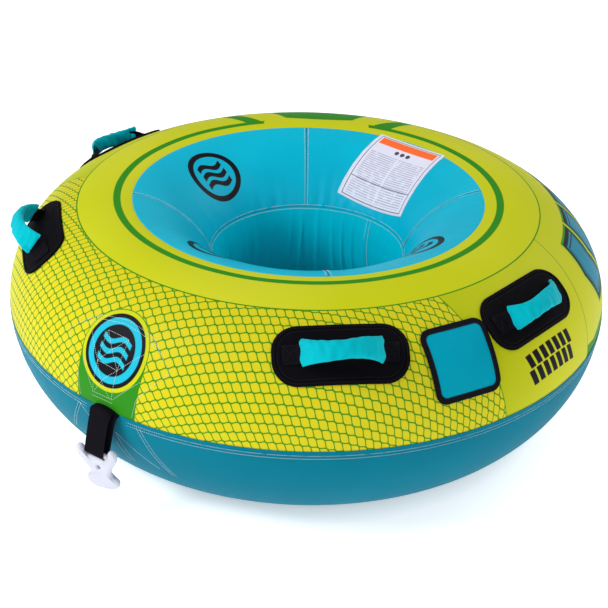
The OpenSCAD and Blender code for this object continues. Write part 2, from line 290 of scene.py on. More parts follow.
def layered(spot, width, height, radius, profile, name, paint, count=200, closed=False, wobble=None, **more):
    """A patch or border on the tube: each (inset, level) of the profile is one ring of its outline.

    closed joins the last ring to the first; otherwise the last ring is filled across.
    """
    rows = []
    flat = []
    for inset, level in profile:
        xy = rounded(width, height, radius, inset, count)
        d = np.full(count, level)
        if wobble is not None:
            d = d + wobble(xy[:, 0], xy[:, 1], inset)
        rows.append(spot.dropped(xy[:, 0], xy[:, 1], d))
        flat.append(flat_at(xy[:, 0] / MM, xy[:, 1] / MM, inset / MM))
    faces = grid(len(profile), count, wrap=True, loop=closed)
    if not closed:
        base = (len(profile) - 1) * count
        half = count // 2
        faces.append((base, base + 1, base + count - 1))
        for j in range(1, half - 1):
            faces.append((base + j, base + j + 1, base + count - j - 1, base + count - j))
        faces.append((base + half - 1, base + half, base + half + 1))
    return mesh(name, np.concatenate(rows), faces, paint, cloth=np.concatenate(flat), **more)


def outline_row(threads, spot, width, height, radius, inset, level, count=200):
    """Stitches round a rounded rectangle on the tube."""
    xy = rounded(width, height, radius, inset, count)
    xy = np.concatenate([xy, xy[:1]])
    path = spot.dropped(xy[:, 0], xy[:, 1], level)
    threads.row(path, np.tile(spot.z, (len(path), 1)))


def line_row(threads, spot, a, b, level):
    """Stitches along a straight line on a spot."""
    f = np.linspace(0, 1, 12)
    path = spot.dropped(a[0] + (b[0] - a[0]) * f, a[1] + (b[1] - a[1]) * f, level)
    threads.row(path, np.tile(spot.z, (len(path), 1)))


WEBBING_THICK = 2.3 * MM


def strap(name, path, across, half_width, shape, ribs=6, bow=None):
    """A ribbed webbing strip swept along a path.

    across gives its width direction at each point, shape scales its width, and bow drops its edges.
    """
    count = len(path)
    forward = np.gradient(path, axis=0)
    forward = forward / np.linalg.norm(forward, axis=1)[:, None]
    out = np.cross(across, forward)
    out = out / np.linalg.norm(out, axis=1)[:, None]
    u = np.linspace(-1, 1, 8 * ribs + 1)
    edge = np.sqrt(np.clip(1 - np.clip((np.abs(u) - 0.93) / 0.07, 0, 1) ** 2, 0, 1))
    top = WEBBING_THICK / 2 * edge * (0.955 + 0.045 * np.cos(u * ribs * TAU / 2))
    profile = np.concatenate([np.stack([u, top], -1), np.stack([u[::-1][1:-1], -top[::-1][1:-1]], -1)])
    size = len(profile)
    rows = []
    flat = []
    length = 0.0
    for k in range(count):
        if k:
            length += float(np.linalg.norm(path[k] - path[k - 1]))
        wide = half_width * shape[k]
        row = path[k] + profile[:, :1] * wide * across[k] + profile[:, 1:] * out[k]
        if bow is not None:
            row[:, 2] -= bow[k] * profile[:, 0] ** 2
        rows.append(row)
        flat.append(flat_at(length / MM, profile[:, 0] * wide / MM))
    faces = grid(count, size, wrap=True)
    faces.append(tuple(range(size)))
    faces.append(tuple(range(count * size - 1, (count - 1) * size - 1, -1)))
    return mesh(name, np.concatenate(rows), faces, WEBBING, body=None, cloth=np.concatenate(flat))


# ---- Materials ---------------------------------------------------------------------------------


def colour(r, g, b):
    """Linear colour from an 8-bit screen colour."""
    out = []
    for v in (r, g, b):
        v /= 255
        out.append(v / 12.92 if v <= 0.04045 else ((v + 0.055) / 1.055) ** 2.4)
    return (*out, 1.0)


class Term:
    """A shader value that takes ordinary arithmetic."""

    def __init__(self, paint, socket):
        self.paint = paint
        self.socket = socket

    def __add__(self, other):
        return self.paint.maths("ADD", self, other)

    __radd__ = __add__

    def __sub__(self, other):
        return self.paint.maths("SUBTRACT", self, other)

    def __rsub__(self, other):
        return self.paint.maths("SUBTRACT", other, self)

    def __mul__(self, other):
        return self.paint.maths("MULTIPLY", self, other)

    __rmul__ = __mul__

    def __truediv__(self, other):
        return self.paint.maths("DIVIDE", self, other)

    def __neg__(self):
        return self.paint.maths("MULTIPLY", self, -1.0)

    def __abs__(self):
        return self.paint.maths("ABSOLUTE", self)

    def root(self):
        return self.paint.maths("SQRT", self)

    def sin(self):
        return self.paint.maths("SINE", self)

    def least(self, *others):
        term = self
        for other in others:
            term = self.paint.maths("MINIMUM", term, other)
        return term

    def most(self, *others):
        term = self
        for other in others:
            term = self.paint.maths("MAXIMUM", term, other)
        return term

    def clamped(self):
        return self.most(0.0).least(1.0)

    def wrapped(self, half):
        return self.paint.maths("WRAP", self, half, -half)

    def inside(self, soft=0.5):
        """1 where the term is above zero, with a soft edge as wide as given."""
        return self.paint.maths("MULTIPLY_ADD", self, 0.5 / soft, 0.5, clamp=True)


class Paint:
    """A material built on the Principled shader."""

    def __init__(self, name, base, roughness=0.6, specular=0.4, sheen=0.0, metallic=0.0):
        self.material = bpy.data.materials.new(name)
        self.material.use_nodes = True
        self.tree = self.material.node_tree
        self.shader = self.tree.nodes["Principled BSDF"]
        self.shader.inputs["Roughness"].default_value = roughness
        self.shader.inputs["Specular IOR Level"].default_value = specular
        self.shader.inputs["Sheen Weight"].default_value = sheen
        self.shader.inputs["Sheen Roughness"].default_value = 0.4
        self.shader.inputs["Metallic"].default_value = metallic
        self.base = base

    def put(self, socket, value):
        if isinstance(value, Term):
            self.tree.links.new(value.socket, socket)
        else:
            socket.default_value = value

    def maths(self, kind, a, b=None, c=None, clamp=False):
        node = self.tree.nodes.new("ShaderNodeMath")
        node.operation = kind
        node.use_clamp = clamp
        for socket, value in zip(node.inputs, (a, b, c)):
            if value is not None:
                self.put(socket, value)
        return Term(self, node.outputs[0])

    def split(self, socket):
        node = self.tree.nodes.new("ShaderNodeSeparateXYZ")
        self.tree.links.new(socket, node.inputs[0])
        return [Term(self, node.outputs[k]) for k in range(3)]

    def joined(self, x, y, z=0.0):
        node = self.tree.nodes.new("ShaderNodeCombineXYZ")
        for socket, value in zip(node.inputs, (x, y, z)):
            self.put(socket, value)
        return Term(self, node.outputs[0])

    def attribute(self, name):
        node = self.tree.nodes.new("ShaderNodeAttribute")
        node.attribute_name = name
        return self.split(node.outputs["Vector"])

    def place(self):
        node = self.tree.nodes.new("ShaderNodeTexCoord")
        return Term(self, node.outputs["Object"])

    def noise(self, scale, vector=None, detail=2.0):
        node = self.tree.nodes.new("ShaderNodeTexNoise")
        node.inputs["Scale"].default_value = scale
        node.inputs["Detail"].default_value = detail
        self.put(node.inputs["Vector"], vector or self.place())
        return Term(self, node.outputs[0])

    def mix(self, first, second, mask):
        """second over first where the mask is 1."""
        node = self.tree.nodes.new("ShaderNodeMix")
        node.data_type = "RGBA"
        self.put(node.inputs[0], mask)
        self.put(node.inputs[6], first)
        self.put(node.inputs[7], second)
        return Term(self, node.outputs[2])

    def convex(self, x, y, corners):
        """Distance inside a convex outline whose corners run anticlockwise."""
        sides = []
        for (x0, y0), (x1, y1) in zip(corners, corners[1:] + corners[:1]):
            size = math.hypot(x1 - x0, y1 - y0)
            nx = -(y1 - y0) / size
            ny = (x1 - x0) / size
            sides.append(x * nx + y * ny - (x0 * nx + y0 * ny))
        return sides[0].least(*sides[1:])

    def weave(self, x, y, pitch, depth, soft=0.3):
        """Bump from a plain weave with threads a pitch apart, in millimetres, over a soft unevenness."""
        turn = math.pi / pitch
        height = (x * turn).sin() * (y * turn).sin() * depth + self.noise(16, detail=3.0) * soft
        self.bump(height)

    def bump(self, height):
        node = self.tree.nodes.new("ShaderNodeBump")
        node.inputs["Strength"].default_value = 1.0
        node.inputs["Distance"].default_value = MM
        self.put(node.inputs["Height"], height)
        self.tree.links.new(node.outputs[0], self.shader.inputs["Normal"])

    def done(self, tint=None, rough=None):
        self.put(self.shader.inputs["Base Color"], tint if tint is not None else self.base)
        if rough is not None:
            self.put(self.shader.inputs["Roughness"], rough)
        return self.material


LIME = colour(192, 197, 16)
LIME_PALE = colour(206, 205, 56)
LIME_DEEP = colour(174, 184, 2)
NET_YELLOW = colour(210, 195, 30)
GREEN = colour(42, 132, 22)
GREEN_DARK = colour(34, 120, 24)
CYAN = colour(26, 178, 204)
CYAN_INK = colour(26, 130, 156)
INK = colour(15, 13, 22)
PALE_THREAD = colour(232, 240, 240)


def chevrons(along, across, pitch, half_height_mm, stroke, first, last):
    """Distance inside a row of pointed bars."""
    slant = along - abs(across) * 0.42
    bar = stroke / 2 - abs((slant - first).wrapped(pitch / 2)) * 0.92
    ends = (slant - (first - pitch / 2)).least((last - pitch / 2) - slant)
    return bar.least(half_height_mm - abs(across), ends)


def deck_print():
    """Printed nylon of the deck, drawn in its flat coordinates in millimetres."""
    p = Paint("printed_nylon", LIME, roughness=0.5, specular=0.07)
    x, y, _ = p.attribute("cloth")
    rho = (x * x + y * y).root()
    side = abs(x)
    turn = p.maths("ARCTAN2", side, -y)
    cloudy = p.noise(2.6, detail=1.0)
    tint = p.mix(LIME, LIME_PALE, (cloudy - 0.35).most(0.0) * 1.4)
    # Airbrushed print band behind the net's edge, and just outside the green ring a darker band that is
    # partly airbrushed print and partly painted shade
    edge = y + 221.0 + (side - 436.0) * 0.1216
    outer = rho - 489.4
    shade = (1.0 - edge / 150.0).clamped() * edge.inside(2.0) * outer.inside(2.0)
    tint = p.mix(tint, LIME_DEEP, shade * 0.85)
    # Painted shade, partly airbrushed print: darker just outside the green ring, fading out over 60 mm
    ring_airbrush_and_shade = (1.0 - outer / 60.0).clamped() * outer.inside(2.0)
    tint = p.mix(tint, LIME_DEEP, ring_airbrush_and_shade * 0.35)
    # Net of crossing wavy lines over the front
    half = 0.5 / 0.0622
    wave = p.maths("COSINE", (x - 26.7) * (TAU * 0.0351)) * (half / 2)
    rise = y - 11.2
    line = abs((rise - wave).wrapped(half)).least(abs((rise - half + wave).wrapped(half)))
    emblem = (((x + 3.0) / 66.0) * ((x + 3.0) / 66.0) + ((y + 607.0) / 55.0) * ((y + 607.0) / 55.0)).root()
    netted = (-edge).inside() * outer.inside()
    tint = p.mix(tint, NET_YELLOW, netted * 0.75)
    tint = p.mix(tint, GREEN, (1.25 - line).inside(0.7) * netted)
    thin = (0.9 - abs(edge)).inside() * outer.inside()
    later = y - 54.0 - p.maths("POWER", ((676.0 - side) / 200.0).most(0.0), 1.5) * 45.0
    thin = thin.most((0.8 - abs(later)).inside() * outer.inside() * (676.0 - side).inside())
    tint = p.mix(tint, GREEN_DARK, thin)
    # Rings
    tint = p.mix(tint, GREEN, (1.1 - abs(outer)).inside())
    left_bar = p.convex(x, y, [(-326, 270), (-520, 270), (-520, 238), (-355, 238)])
    right_bar = p.convex(x, y, [(-97, 409), (-45, 425), (-14.5, 520), (-40.7, 520)])
    gap = p.convex(x, y, [(0, 0), (-97, 409), (-400, 700), (-326, 270)])
    bold = (6.0 - abs(rho - 423.5)).least(-gap)
    inner = 489.4 - rho
    bold = bold.most(left_bar.least(inner), right_bar.least(inner))
    rear = x * -0.518 + y * 0.855
    cross = x * -0.855 - y * 0.518
    patch = (rear - 432.0).least(
        (84.0 + (rear - 432.0) * 1.1 - cross) / 1.49,
        (cross + 84.0 + (rear - 432.0) * 0.8) / 1.28,
        560.0 - rear,
    )
    bold = bold.most(patch)
    # Wedge above the seam
    wedge = (side - 675.0 + (y - 99.0).most(0.0) * 0.309).least(y - 54.0)
    bold = bold.most(wedge)
    tint = p.mix(tint, GREEN, bold.inside())
    # Plain pointed bars with an outline
    along = (turn - math.radians(109)) * 590.0
    letters = chevrons(along, rho - 592.0, 116.0, 56.0, 90.0, 0.0, 696.0)
    tint = p.mix(tint, GREEN, (letters + 4.5).inside())
    tint = p.mix(tint, INK, letters.inside())
    tint = p.mix(tint, CYAN_INK, (letters - 8.0).inside())
    tint = p.mix(tint, INK, (1.2 - abs(letters - 13.0)).inside())
    # Rows of slanted black bars
    down = side * 0.14 + y * 0.99
    for middle, tall in ((620.0, 11.0), (646.0, 12.5)):
        over = side * 0.99 - y * 0.14 - (middle * 0.99 + 92.0 * 0.14)
        lean = down - over * 0.35
        centred = lean + 4.3
        bar = (7.4 - abs(centred.wrapped(10.5))).least(tall - abs(over), 73.5 - abs(centred))
        tint = p.mix(tint, INK, bar.inside())
    # Slanted bars on the other flank
    flank = p.maths("ARCTAN2", -x, -y)
    lean = (flank - math.radians(66)) * 640.0 + (rho - 638.0) * 0.5
    bar = (15.0 - abs(lean.wrapped(22.0))).least(26.0 - abs(rho - 638.0), 154.0 - abs(lean))
    tint = p.mix(tint, GREEN_DARK, (bar + 3.0).inside())
    tint = p.mix(tint, CYAN, bar.inside())
    # Round mark over the tow point, with three waves in it
    tab = (75.0 - abs(x + 2.0)).least(-610.0 - y)
    tint = p.mix(tint, GREEN, tab.inside())
    for limit, ink in ((1.135, GREEN), (1.11, LIME), (1.0, INK), (0.885, CYAN), (0.69, INK)):
        tint = p.mix(tint, ink, ((limit - emblem) * 60.0).inside())
    for level in (-0.27, 0.0, 0.27):
        ridge = (y + 607.0) / 55.0 - level - (((x + 3.0) / 66.0) * 7.5).sin() * 0.075
        wavy = (0.07 - abs(ridge)).least((0.5 - abs((x + 3.0) / 66.0)) * 0.5) * 55.0
        tint = p.mix(tint, CYAN, wavy.inside())
    p.weave(x, y, 1.1, 0.05)
    return p.done(tint)


def plain_nylon(name, tint, roughness, sheen=0.0):
    """Woven nylon of one colour, with cloudy changes of tint."""
    p = Paint(name, tint, roughness=roughness, specular=0.03, sheen=sheen)
    x, y, _ = p.attribute("cloth")
    darker = tuple(c * 0.86 for c in tint[:3]) + (1.0,)
    p.weave(x, y, 1.0, 0.06, soft=0.45)
    return p.done(p.mix(darker, tint, (p.noise(7.0, detail=3.0) * 1.6 - 0.2).clamped()))


# Radius, in millimetres, of the round marks on the funnel
MARK_R = 71.0


def funnel_print():
    """Cyan nylon with a round mark on three sides, drawn about the nearest mark's middle."""
    tint = colour(0, 184, 212)
    p = Paint("cyan_nylon", tint, roughness=0.36, specular=0.08)
    x, y, _ = p.attribute("mark")
    q = (x * x + y * y).root() / MARK_R
    ink = (0.1 - abs(q - 0.9)).inside(0.008)
    for level in (-0.34, 0.0, 0.34):
        ridge = y / MARK_R - level - (x / MARK_R * 6.5).sin() * 0.1
        ink = ink.most((0.1 - abs(ridge)).least(0.52 - abs(x / MARK_R)).inside(0.008))
    p.weave(x, y, 1.0, 0.05, soft=0.5)
    shade = p.mix(tint, colour(0, 166, 196), (p.noise(5.0, detail=2.0) * 1.5 - 0.3).clamped())
    return p.done(p.mix(shade, INK, ink))


def label_print():
    """Label cloth: a band, three dots, rows of grey dashes and a box, all of them blank."""
    p = Paint("label_cloth", colour(226, 226, 246), roughness=0.5, specular=0.2)
    x, y, _ = p.attribute("cloth")
    tint = p.mix(p.base, colour(222, 222, 236), p.noise(30.0))
    band = (84.0 - abs(x)).least(11.0 - abs(y + 80.0))
    tint = p.mix(tint, colour(250, 108, 48), band.inside())
    for k in (-1, 0, 1):
        far = ((x - 17.0 * k) * (x - 17.0 * k) + (y + 56.0) * (y + 56.0)).root()
        tint = p.mix(tint, colour(70, 70, 84), (6.0 - far).inside())
    dash = (1.1 - abs((y + 2.0).wrapped(3.0))).least(82.0 - abs(x), y + 42.0, 88.0 - y)
    dash = dash.least(abs(x) - 3.0)
    broken = p.noise(0.07, p.joined(x, p.maths("FLOOR", (y + 2.0) / 6.0) * 7.0), 2.0)
    tint = p.mix(tint, colour(168, 168, 190), dash.inside() * (broken - 0.42).inside(0.02))
    frame_line = (0.9 - abs((90.0 - abs(x)).least(94.0 - abs(y)))).inside()
    split = (0.9 - abs(y - 44.0)).least(90.0 - abs(x)).inside()
    tint = p.mix(tint, colour(60, 60, 72), frame_line.most(split))
    p.weave(x, y, 0.8, 0.03, soft=0.2)
    return p.done(tint)


def webbing(name, tint):
    """Ribbed polyester webbing or tape; its first coordinate runs along it."""
    p = Paint(name, tint, roughness=0.8, specular=0.05)
    x, y, _ = p.attribute("cloth")
    height = (x * (TAU / 2.2)).sin() * (0.6 + (y * (TAU / 4.2)).sin() * 0.4) * 0.16
    p.bump(height + p.noise(60.0) * 0.2)
    grey = tuple(c * 1.7 for c in tint[:3]) + (1.0,)
    return p.done(p.mix(tint, grey, (p.noise(120.0, detail=3.0) * 1.4 - 0.3).clamped()))


def surface(name, tint, roughness, speck=0.12, scale=80.0, depth=0.12, **more):
    """A plain material with a fine grain, a slight change of tint and uneven gloss."""
    p = Paint(name, tint, roughness=roughness, **more)
    grain = p.noise(scale, detail=3.0)
    darker = tuple(c * (1 - speck) for c in tint[:3]) + (1.0,)
    p.bump(grain * depth)
    gloss = p.noise(scale / 6) * 0.12 + (roughness - 0.06)
    return p.done(p.mix(darker, tint, grain), gloss)


DECK = deck_print()
FUNNEL = funnel_print()
# Painted light: the funnel's cyan nylon with its base colour made a little brighter, to make up for the shade
# in the well
THROAT_LIT_NYLON = plain_nylon("throat_nylon_lit", colour(0, 188, 212), 0.45)
TEAL = plain_nylon("teal_nylon", colour(0, 118, 142), 0.5)
FLAP_CLOTH = plain_nylon("flap_nylon", colour(0, 156, 182), 0.52)
PATCH_CLOTH = plain_nylon("yellow_nylon", colour(220, 214, 40), 0.55)
GRIP = plain_nylon("grip_cloth", colour(0, 178, 192), 0.6, 0.05)
WEBBING = webbing("black_webbing", colour(10, 9, 15))
BINDING = webbing("binding_tape", colour(15, 14, 22))
NEOPRENE = surface("neoprene", colour(9, 8, 14), 0.85, speck=0.35, scale=400.0, depth=0.25, specular=0.06)
THREAD = surface("pale_thread", PALE_THREAD, 0.5, scale=300.0)
DARK_THREAD = surface("dark_thread", colour(34, 34, 44), 0.6, scale=300.0, specular=0.2)
PLASTIC = surface(
    "hook_plastic", colour(204, 206, 220), 0.42, speck=0.03, scale=30.0, depth=0.04, specular=0.3,
)
hook_shader = PLASTIC.node_tree.nodes["Principled BSDF"]
hook_shader.inputs["Subsurface Weight"].default_value = 0.25
hook_shader.inputs["Subsurface Radius"].default_value = (0.006, 0.006, 0.008)
VALVE_PLASTIC = surface("valve_plastic", colour(30, 30, 34), 0.42, scale=120.0)
RUBBER = surface("soft_rubber", colour(214, 216, 220), 0.5, scale=200.0)
VINYL = surface("vinyl", colour(66, 68, 76), 0.35, scale=60.0)
HOOK_LOOP = surface("hook_and_loop", colour(58, 60, 66), 0.9, speck=0.6, scale=900.0, depth=1.2)
COIL = surface("zip_coil", colour(26, 26, 32), 0.45, scale=200.0)
METAL = surface("zip_metal", colour(186, 188, 192), 0.32, scale=90.0, metallic=1.0)
PULL_RUBBER = surface("pull_rubber", colour(28, 28, 34), 0.55, scale=160.0)
LABEL_CLOTH = label_print()
CORD = webbing("elastic_cord", colour(214, 214, 214))

CARRIED = {
    "bladder": VINYL, "tow_anchor_webbing": WEBBING, "tow_patch_upper": PATCH_CLOTH,
    "tow_patch_lower": TEAL, "throat_elastic": CORD, "flap_hook_tape": HOOK_LOOP,
    "flap_loop_tape": HOOK_LOOP, "valve_flange": VINYL,
    "valve_base": VALVE_PLASTIC, "valve_insert": VALVE_PLASTIC, "valve_membrane": RUBBER,
    "valve_cap": VALVE_PLASTIC, "valve_leash": PULL_RUBBER, "zip_stops": METAL,
    "zip_slider": METAL, "zip_pull": PULL_RUBBER,
}
for node, paint in CARRIED.items():
    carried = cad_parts[node]
    if not carried.material_slots:
        carried.data.materials.append(paint)
    for place in carried.material_slots:
        place.material = paint

# ---- Cover panels ------------------------------------------------------------------------------


def panel_area(t0, t1, share=1.0):
    """Flat area of a band of the cover."""
    t = np.linspace(t0, t1, 300)
    line = on_face(0, t)
    step = np.linalg.norm(np.diff(line, axis=0), axis=1)
    radius = np.hypot(line[:, 0], line[:, 1])
    return float(np.sum((radius[1:] + radius[:-1]) / 2 * step) * TAU * share)


# Points round the ring in the deck and the underside
AROUND = 840


def deck():
    """Upper panel of the cover, from the rim out to the seam, with the valve's opening in it."""
    at_rim = [RIM_T + 0.1, RIM_T, RIM_T - 0.3, RIM_T - 0.8]
    t = np.concatenate([at_rim, np.linspace(RIM_T - 1.6, 2.2, 76), [1.4, 0.8, 0.2]])[::-1]
    tt, aa = band(t, AROUND)
    edge = np.minimum(tt, RIM_T - tt) * DECK_DEGREE
    d = -0.9 * np.exp(-edge / 2.2)
    d += -0.55 * near(tt * 4.0, 26) * (1 + waves(aa, 50, 130, 9, 3)) * 0.5
    d += 0.22 * waves(aa, 4, 24, 8, 4) * np.sin(np.radians(tt)) ** 2 - 0.22
    d = np.clip(d, -0.95, 0.2)
    points = on_face(aa, tt, d * MM).reshape(-1, 3)
    faces = grid(len(t), AROUND, wrap=True)
    # The valve's opening: cut away the quads inside it and draw their edge onto its circle
    spot = Spot(*VALVE)
    local = points - spot.origin
    x = local @ spot.x
    y = local @ spot.y
    far = np.hypot(x, y)
    near_by = (local @ spot.z > -0.05) & (far < 0.08)
    opening = 35 * MM
    gone = near_by & (far < opening - 2.2 * MM)
    keep = [f for f in faces if not any(gone[v] for v in f)]
    cut = set(v for f in faces if any(gone[v] for v in f) for v in f) - set(np.nonzero(gone)[0].tolist())
    for v in cut:
        points[v] = spot.dropped(x[v] * opening / far[v], y[v] * opening / far[v], -0.2 * MM)
    used = sorted(set(v for f in keep for v in f))
    number = {v: k for k, v in enumerate(used)}
    keep = [tuple(number[v] for v in f) for f in keep]
    points = points[used]
    made = mesh("deck", points, keep, DECK, cloth=print_xy(points), slot="printed_nylon")
    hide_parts("deck_panel")
    panel_area(0, RIM_T)


def nearest_mark(points):
    """Flat coordinates, in millimetres, about the middle of the nearest round mark on the funnel."""
    best = np.full(points.shape[:-1], 1e9)
    out = np.zeros(points.shape)
    for tau in (265.0, 354.5, 84.5):
        spot = Spot(tau, 130.2)
        local = points - spot.origin
        far = np.linalg.norm(local, axis=-1)
        x = local @ spot.x / MM
        y = -(local @ spot.y) / MM
        closer = far < best
        best = np.where(closer, far, best)
        out[closer] = flat_at(x, y)[closer]
    return out


def funnel_panel(k, first, last):
    """One of the funnel's four panels, between two seams."""
    columns = int((last - first) * 2.4)
    middle = np.linspace(first + 1, last - 1, columns)
    tau = np.concatenate([[first + 0.1, first + 0.4], middle, [last - 0.4, last - 0.1]])
    middle = np.linspace(RIM_T + 1.1, THROAT_T - 1, 46)
    t = np.concatenate([[RIM_T, RIM_T + 0.5], middle, [THROAT_T - 0.5, THROAT_T - 0.1]])
    tt, aa = np.meshgrid(t, tau, indexing="ij")
    rim = (tt - RIM_T) * WELL_DEGREE
    low = (THROAT_T - tt) * WELL_DEGREE
    side = np.minimum(aa - first, last - aa) * np.hypot(*np.moveaxis(on_face(0, tt), -1, 0)[:2]) * 17.4
    d = -0.9 * np.exp(-rim / 2.0) - 1.0 * np.exp(-low / 2.0) - 0.9 * np.exp(-side / 2.0)
    d += 1.5 * near(low, 42) * waves(aa, 24, 60, 9, 11 + k) * (1 - np.exp(-low / 5))
    d += 0.7 * near(rim, 30) * waves(aa, 30, 90, 9, 21 + k) * (1 - np.exp(-rim / 5))
    d += 0.8 * waves(aa + tt * 0.9, 6, 16, 6, 31) * np.sin(np.pi * (tt - RIM_T) / (THROAT_T - RIM_T))
    d += 0.9 * near(side, 16) * np.sin(tt / 2.1 + waves(aa, 8, 20, 4, 41) * 2) * (1 - np.exp(-side / 4))
    # Flat under the label
    label = Spot(*LABEL)
    local = on_face(aa, tt) - label.origin
    under = (np.abs(local @ label.x) < 0.108) & (np.abs(local @ label.y) < 0.108)
    points = on_face(aa, tt, np.clip(d, -2.6, np.where(under, 0.05, 2.2)) * MM)
    made = mesh(f"funnel_{k + 1}", points, grid(len(t), len(tau)), FUNNEL, slot="cyan_nylon")
    flat = nearest_mark(points).astype(np.float32).reshape(-1)
    made.data.attributes.new("mark", "FLOAT_VECTOR", "POINT").data.foreach_set("vector", flat)
    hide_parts(f"funnel_panel_{k + 1}")
    area = panel_area(RIM_T, THROAT_T, (last - first) / 360)
    wide = 2 * 0.4 * math.sin(math.radians(last - first) / 2) * 1.12


def pleats(aa):
    """Gathers of the throat: sharp ridges at uneven places, 0 to 1."""
    pick = random.Random(5)
    total = np.zeros(np.shape(aa))
    angle = 0.0
    while angle < 357:
        angle += pick.uniform(7, 16)
        wide = pick.uniform(0.8, 1.9)
        high = pick.uniform(0.35, 1.0)
        off = (aa - angle + 180) % 360 - 180
        total = np.maximum(total, high * np.exp(-(np.abs(off) / wide) ** 1.4))
    return total


def throat():
    """Panel below the funnel, gathered by the elastic in its hem."""
    columns = 900
    middle = np.linspace(THROAT_T + 1.2, HEM_T - 1.5, 44)
    t = np.concatenate([[THROAT_T + 0.1, THROAT_T + 0.5], middle, [HEM_T - 0.6, HEM_T]])
    tt, aa = band(t, columns)
    depth = (tt - THROAT_T) / (HEM_T - THROAT_T)
    top = (tt - THROAT_T) * WELL_DEGREE
    lean = aa + 2.6 * depth * waves(aa, 3, 9, 5, 50)
    d = -1.0 * np.exp(-top / 2.0)
    d += (1.0 + 10.5 * depth ** 1.1) * pleats(lean) * (1 - np.exp(-top / 12))
    d += 1.2 * depth * waves(aa, 20, 50, 8, 51)
    d += 0.9 * near(top, 24) * waves(aa, 40, 90, 8, 52) * (1 - np.exp(-top / 5))
    d = np.clip(d, -2.2, 12)
    points = on_face(aa, tt, d * MM)
    cloth = flat_at(aa * 3.7, tt * DECK_DEGREE)
    made = mesh("throat", points, grid(len(t), columns, wrap=True), THROAT_LIT_NYLON, cloth=cloth, slot="cyan_nylon")
    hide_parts("throat_panel")
    panel_area(THROAT_T, HEM_T)


def underside():
    """Lower panel of the cover, flat where it stands, with its edge folded under the deck's."""
    t = np.concatenate([
        np.linspace(HEM_T + 0.1, 262, 20), np.linspace(264, 280, 14), np.linspace(282, 357.6, 52),
        [358.4, 359.2, 360, 360.5, 360.75, 360.8, 360.5],
    ])
    tt, aa = band(t, AROUND)
    seam = (360.6 - tt) * LOW_DEGREE
    d = 0.55 * np.exp(-(seam / 14) ** 2)
    d -= 0.35 * (np.exp(-((seam - 7) / 1.2) ** 2) + np.exp(-((seam - 14) / 1.2) ** 2))
    d += 0.35 * near(seam - 10, 6) * waves(aa, 90, 190, 10, 61)
    d += 0.8 * near(seam - 16, 26) * waves(aa, 40, 110, 10, 62) * np.clip((seam - 10) / 8, 0, 1)
    d += 0.35 * waves(aa + tt * 0.5, 5, 18, 6, 63) * np.sin(np.radians(tt)) ** 2
    d = np.clip(d, -1.2, 1.3)
    zip_near = (np.abs(aa - 180) < 54) & (np.abs(tt - ZIP_T) < 5)
    d = np.where(zip_near, np.minimum(d, 0.0), d)
    d[-1] = -0.6
    d[-2] = 0.2
    points = on_face(aa, tt, d * MM)
    points[..., 2] = np.maximum(points[..., 2], 0.0)
    cloth = flat_at(aa * 9.5, tt * 4.3)
    made = mesh("underside", points, grid(len(t), AROUND, wrap=True), TEAL, cloth=cloth, slot="teal_nylon")
    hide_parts("underside_panel")
    panel_area(HEM_T, 360)


deck()
for k, (first, last) in enumerate(zip(FUNNEL_SEAMS, FUNNEL_SEAMS[1:] + [FUNNEL_SEAMS[0] + 360])):
    funnel_panel(k, first, last)
throat()
underside()

# ---- Seam stitching ----------------------------------------------------------------------------

def seam_stitching():
    seams = Threads()
    ring_row(seams, 358.4, 0.45 * MM, 4.2, 355.6)
    ring_row(seams, 356.8, 0.4 * MM, 4.2, 355.6)
    seams.width = 1.8 * MM
    ring_row(seams, THROAT_T + 1.2, 0.5 * MM)
    ring_row(seams, THROAT_T - 1.3, 0.5 * MM)
    for tau in FUNNEL_SEAMS:
        for offset in (-0.75, 0.75):
            section_row(seams, tau + offset, RIM_T + 1.0, THROAT_T - 1.0, 0.4 * MM)
    for offset in (-1.4, 1.4):
        section_row(seams, 171.1 + offset, THROAT_T + 1, HEM_T - 3, 1.6 * MM)
    seams.made("seam_stitching", THREAD)


seam_stitching()

# Stitching that fixes the tow webbing behind the deck, in the printed cloth's coordinates
DECK_LINES = [
    [(-31, -583), (20, -585), (18, -632), (-32, -629), (-31, -583)],
    [(-31, -583), (18, -632)],
    [(20, -585), (-32, -629)],
    [(-32, -629), (-34, -677)],
    [(18, -632), (15, -677)],
    [(-36, -677), (18, -677)],
    [(-36, -683), (18, -683)],
    [(-32, -629), (-20, -650), (10, -677)],
    [(18, -632), (-10, -652), (-30, -675)],
    [(-68, -590), (-32, -629)],
    [(61, -594), (20, -630)],
    [(-88, -578), (-60, -566), (0, -560), (56, -566), (84, -576)],
    [(-84, -583), (-58, -572), (0, -566), (54, -572), (80, -581)],
    [(60, -566), (122, -600), (72, -658), (66, -690)],
    [(-62, -566), (-124, -596), (-76, -655), (-70, -690)],
    [(72, -632), (18, -677)],
    [(-72, -627), (-36, -672)],
]
# The same below the seam, as angles round the ring and of the section
LOW_LINES = [
    [(-6.5, 357.2), (-11.0, 335.6)], [(-5.9, 357.2), (-10.4, 335.6)],
    [(1.6, 350.0), (9.0, 333.3)], [(6.2, 357.6), (8.4, 345.0), (11.3, 330.4)],
    [(6.9, 357.6), (9.2, 345.0), (12.0, 330.4)], [(1.0, 343.2), (2.5, 330.8)],
    [(1.6, 350.0), (3.5, 331.2)], [(-6.5, 357.2), (-4.2, 352.0), (-2.0, 334.0)],
    [(-9.0, 333.3), (-2.0, 340.0)],
]


